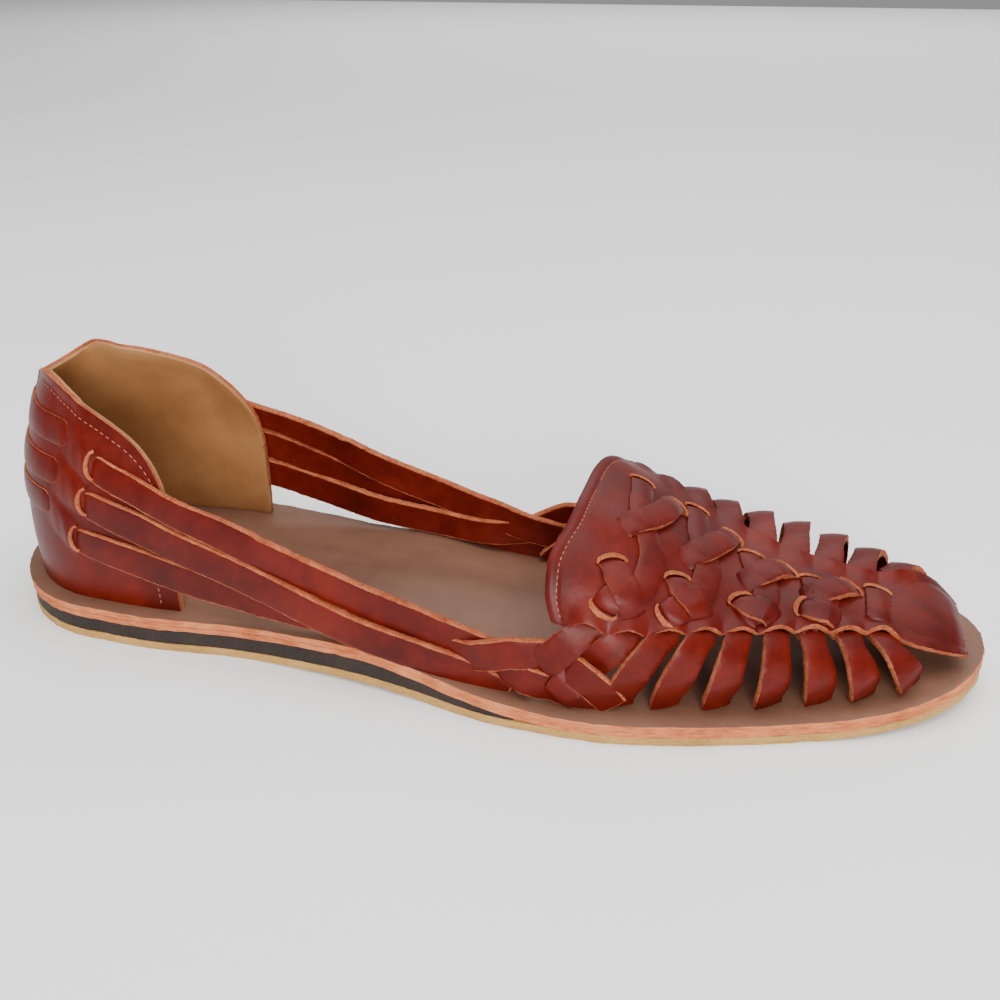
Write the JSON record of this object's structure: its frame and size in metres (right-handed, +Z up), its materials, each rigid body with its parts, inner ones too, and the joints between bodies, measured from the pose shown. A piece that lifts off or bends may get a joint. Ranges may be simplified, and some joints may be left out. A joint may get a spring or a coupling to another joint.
{
  "type": "huarache sandal",
  "caption": "Flat woven leather slip-on sandal with a closed woven vamp, open sides of narrow straps and a lined heel counter.",
  "frame": {"origin": "middle of the footprint's bounding box, on the ground plane", "axes": "+X towards the toe, +Y towards the wearer's left (the inner side of this right shoe), +Z up"},
  "size_m": [0.262, 0.0894, 0.0672],
  "materials": {
    "gum_crepe": "yellow gum crepe rubber, dull, with a cut edge",
    "dark_rubber": "dark brown rubber, matt cut edge",
    "footbed_leather": "thick taupe-brown leather, smooth top, raw orange-tan cut edge",
    "upper_leather": "smooth red-brown pull-up leather with a soft gloss",
    "raw_edge_leather": "undyed cut edge and flesh side, fuzzy and matt",
    "lining_leather": "natural tan lining leather, smooth",
    "stitch_thread": "waxed sewing thread in the leather's colour"
  },
  "bodies": {
    "root": {"crepe_outsole": "gum_crepe", "heel_wedge": "dark_rubber", "insole": "footbed_leather", "heel_counter": "upper_leather", "heel_band_top": "upper_leather", "heel_band_middle": "upper_leather", "heel_band_low": "upper_leather", "upper": "upper_leather"}
  },
  "joints": []
}
